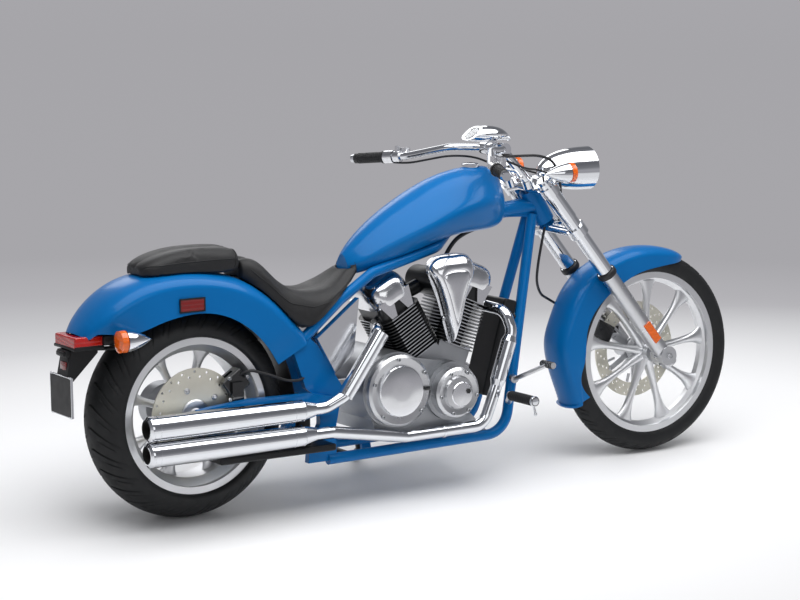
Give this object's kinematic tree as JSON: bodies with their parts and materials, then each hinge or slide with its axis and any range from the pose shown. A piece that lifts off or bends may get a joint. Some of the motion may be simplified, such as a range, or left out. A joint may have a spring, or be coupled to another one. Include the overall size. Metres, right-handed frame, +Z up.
{
  "type": "chopper motorcycle",
  "caption": "Long, low V-twin cruiser motorcycle with a raked fork, wide rear tyre and stacked exhausts, leaning on its side stand.",
  "frame": {"origin": "on the road, under the middle of the whole machine", "axes": "+X towards the front wheel, +Y to the rider's left, +Z up"},
  "size_m": [2.5638, 0.9398, 1.1556],
  "materials": {
    "amber_lens": "gloss",
    "black_metal": "satin",
    "black_plastic": "matt",
    "black_rubber": "matt",
    "blue_paint": "gloss",
    "cast_aluminium": "satin",
    "chrome": "polished",
    "clear_lens": "gloss",
    "disc_steel": "brushed",
    "red_lens": "gloss",
    "seat_leather": "satin",
    "tyre_rubber": "matt"
  },
  "bodies": {
    "chassis": {"air_cover": "chrome", "air_duct": "black_metal", "crankcase": "black_metal", "cylinders": "black_metal", "exhaust_headers": "chrome", "fender_reflectors": "red_lens", "filler_cap": "chrome", "foot_levers": "chrome", "foot_pegs": "black_rubber", "frame_backbone": "blue_paint", "frame_cradles": "blue_paint", "frame_hoses": "black_rubber", "frame_plates": "blue_paint", "frame_rails": "blue_paint", "fuel_tank": "blue_paint", "head_covers": "chrome", "left_engine_covers": "cast_aluminium", "muffler_bracket": "black_metal", "mufflers": "chrome", "number_plate": "black_plastic", "passenger_pad": "seat_leather", "peg_mounts": "black_metal", "plate_bracket": "black_metal", "radiator": "black_metal", "rear_caliper": "cast_aluminium", "rear_fender": "blue_paint", "rear_signal_bodies": "chrome", "rear_signal_lenses": "amber_lens", "rear_subframe": "black_metal", "rider_seat": "seat_leather", "right_engine_covers": "cast_aluminium", "shaft_drive": "black_metal", "side_covers": "chrome", "swing_shafts": "disc_steel", "swingarm_right": "blue_paint", "tail_lamp": "red_lens"},
    "fork": {"fork_sliders": "cast_aluminium", "fork_tubes": "chrome", "lower_yoke": "black_metal", "upper_yoke": "black_metal", "front_axle": "disc_steel", "front_fender": "blue_paint", "handlebar": "chrome", "grips": "black_rubber", "bar_controls": "chrome", "risers": "chrome", "meter": "chrome", "headlamp_shell": "chrome", "headlamp_lens": "clear_lens", "front_signal_bodies": "chrome", "front_amber_lenses": "amber_lens", "front_caliper": "cast_aluminium", "fork_hoses": "black_rubber"},
    "front_wheel": {"front_tyre": "tyre_rubber", "front_rim": "cast_aluminium", "front_disc": "disc_steel"},
    "rear_wheel": {"rear_tyre": "tyre_rubber", "rear_rim": "cast_aluminium", "rear_disc": "disc_steel"},
    "stand": {"side_stand": "black_metal"}
  },
  "joints": [
    {"name": "steering", "type": "hinge", "parent": "chassis", "child": "fork", "pos_m": [0.46984, -0.01377, 0.88184], "axis": [-0.5302, 0.1327, 0.8374], "range_deg": [-28, 28]},
    {"name": "front_wheel_spin", "type": "hinge", "parent": "fork", "child": "front_wheel", "pos_m": [0.93418, -0.0986, 0.34639], "axis": [0.0001, 0.9877, -0.1564], "continuous": true},
    {"name": "rear_wheel_spin", "type": "hinge", "parent": "chassis", "child": "rear_wheel", "pos_m": [-0.86982, -0.10159, 0.32684], "axis": [0.0001, 0.9877, -0.1564], "continuous": true},
    {"name": "stand_fold", "type": "hinge", "parent": "chassis", "child": "stand", "pos_m": [-0.14772, -0.00115, 0.09191], "axis": [0.0937, 0.5173, 0.8507], "range_deg": [0, 100.11]}
  ]
}
